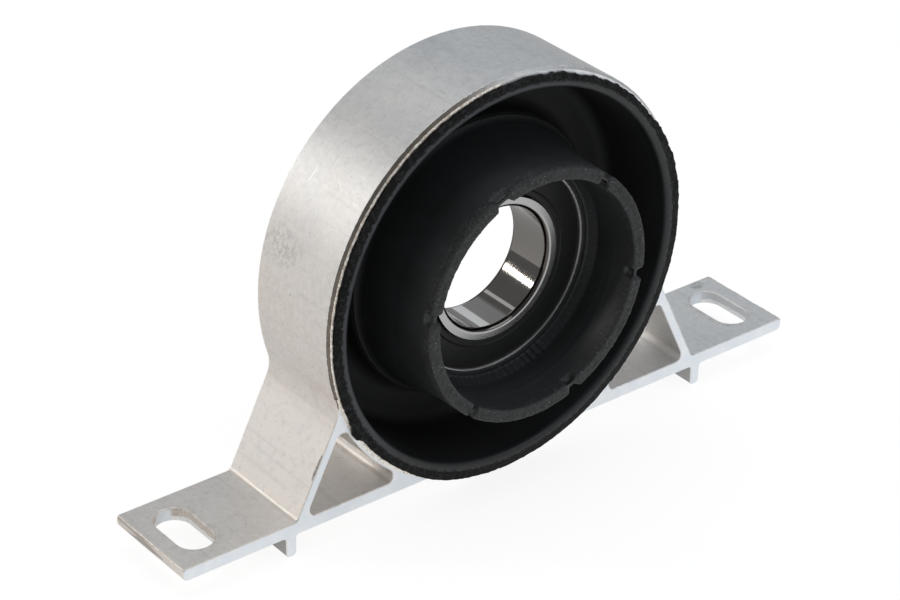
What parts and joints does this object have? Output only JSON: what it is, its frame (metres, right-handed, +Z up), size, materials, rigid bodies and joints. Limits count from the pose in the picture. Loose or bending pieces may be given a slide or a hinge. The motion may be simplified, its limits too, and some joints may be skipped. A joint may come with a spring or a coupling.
{
  "type": "driveshaft centre bearing",
  "caption": "Sealed ball bearing in a convoluted rubber mount, moulded into the ring of an extruded aluminium housing with slanted struts and slotted feet.",
  "frame": {"origin": "centre of the bearing, on the shaft's axis", "axes": "+Y along the shaft, away from the open side of the rubber; +X along the feet; +Z up"},
  "size_m": [0.178, 0.0372, 0.1011],
  "materials": {
    "housing": "extruded, satin, sawn end faces",
    "rubber": "moulded, semi-matt",
    "sleeve": "pressed sheet",
    "race": "ground and polished",
    "seal": "smooth moulded",
    "seal_plate": "pressed sheet",
    "cage": "pressed sheet",
    "ball": "polished"
  },
  "bodies": {
    "mount": {"housing": "housing", "rubber_mount": "rubber", "mount_sleeve": "sleeve", "outer_race": "race", "seal_front": "seal", "seal_back": "seal", "seal_plate_front": "seal_plate", "seal_plate_back": "seal_plate"},
    "inner_race": {"inner_race": "race"},
    "cage": {"cage_front_half": "cage", "cage_back_half": "cage", "cage_rivets": "cage"},
    "ball_01": {"ball_01": "ball"},
    "ball_02": {"ball_02": "ball"},
    "ball_03": {"ball_03": "ball"},
    "ball_04": {"ball_04": "ball"},
    "ball_05": {"ball_05": "ball"},
    "ball_06": {"ball_06": "ball"},
    "ball_07": {"ball_07": "ball"},
    "ball_08": {"ball_08": "ball"},
    "ball_09": {"ball_09": "ball"},
    "ball_10": {"ball_10": "ball"},
    "ball_11": {"ball_11": "ball"}
  },
  "joints": [
    {"name": "inner_race_spin", "type": "hinge", "parent": "mount", "child": "inner_race", "pos_m": [0, 0, 0], "axis": [0, 1, 0], "continuous": true},
    {"name": "cage_spin", "type": "hinge", "parent": "mount", "child": "cage", "pos_m": [0, 0, 0], "axis": [0, 1, 0], "continuous": true},
    {"name": "ball_01_spin", "type": "hinge", "parent": "cage", "child": "ball_01", "pos_m": [0, 0, 0.02125], "axis": [0, 1, 0], "continuous": true},
    {"name": "ball_02_spin", "type": "hinge", "parent": "cage", "child": "ball_02", "pos_m": [-0.01149, 0, 0.01788], "axis": [0, 1, 0], "continuous": true},
    {"name": "ball_03_spin", "type": "hinge", "parent": "cage", "child": "ball_03", "pos_m": [-0.01933, 0, 0.00883], "axis": [0, 1, 0], "continuous": true},
    {"name": "ball_04_spin", "type": "hinge", "parent": "cage", "child": "ball_04", "pos_m": [-0.02103, 0, -0.00302], "axis": [0, 1, 0], "continuous": true},
    {"name": "ball_05_spin", "type": "hinge", "parent": "cage", "child": "ball_05", "pos_m": [-0.01606, 0, -0.01392], "axis": [0, 1, 0], "continuous": true},
    {"name": "ball_06_spin", "type": "hinge", "parent": "cage", "child": "ball_06", "pos_m": [-0.00599, 0, -0.02039], "axis": [0, 1, 0], "continuous": true},
    {"name": "ball_07_spin", "type": "hinge", "parent": "cage", "child": "ball_07", "pos_m": [0.00599, 0, -0.02039], "axis": [0, 1, 0], "continuous": true},
    {"name": "ball_08_spin", "type": "hinge", "parent": "cage", "child": "ball_08", "pos_m": [0.01606, 0, -0.01392], "axis": [0, 1, 0], "continuous": true},
    {"name": "ball_09_spin", "type": "hinge", "parent": "cage", "child": "ball_09", "pos_m": [0.02103, 0, -0.00302], "axis": [0, 1, 0], "continuous": true},
    {"name": "ball_10_spin", "type": "hinge", "parent": "cage", "child": "ball_10", "pos_m": [0.01933, 0, 0.00883], "axis": [0, 1, 0], "continuous": true},
    {"name": "ball_11_spin", "type": "hinge", "parent": "cage", "child": "ball_11", "pos_m": [0.01149, 0, 0.01788], "axis": [0, 1, 0], "continuous": true}
  ],
  "couplings": [
    {"joint": "cage_spin", "follows": "inner_race_spin", "ratio": 0.41595},
    {"joint": "ball_01_spin", "follows": "inner_race_spin", "ratio": -2.8905},
    {"joint": "ball_02_spin", "follows": "inner_race_spin", "ratio": -2.8905},
    {"joint": "ball_03_spin", "follows": "inner_race_spin", "ratio": -2.8905},
    {"joint": "ball_04_spin", "follows": "inner_race_spin", "ratio": -2.8905},
    {"joint": "ball_05_spin", "follows": "inner_race_spin", "ratio": -2.8905},
    {"joint": "ball_06_spin", "follows": "inner_race_spin", "ratio": -2.8905},
    {"joint": "ball_07_spin", "follows": "inner_race_spin", "ratio": -2.8905},
    {"joint": "ball_08_spin", "follows": "inner_race_spin", "ratio": -2.8905},
    {"joint": "ball_09_spin", "follows": "inner_race_spin", "ratio": -2.8905},
    {"joint": "ball_10_spin", "follows": "inner_race_spin", "ratio": -2.8905},
    {"joint": "ball_11_spin", "follows": "inner_race_spin", "ratio": -2.8905}
  ]
}
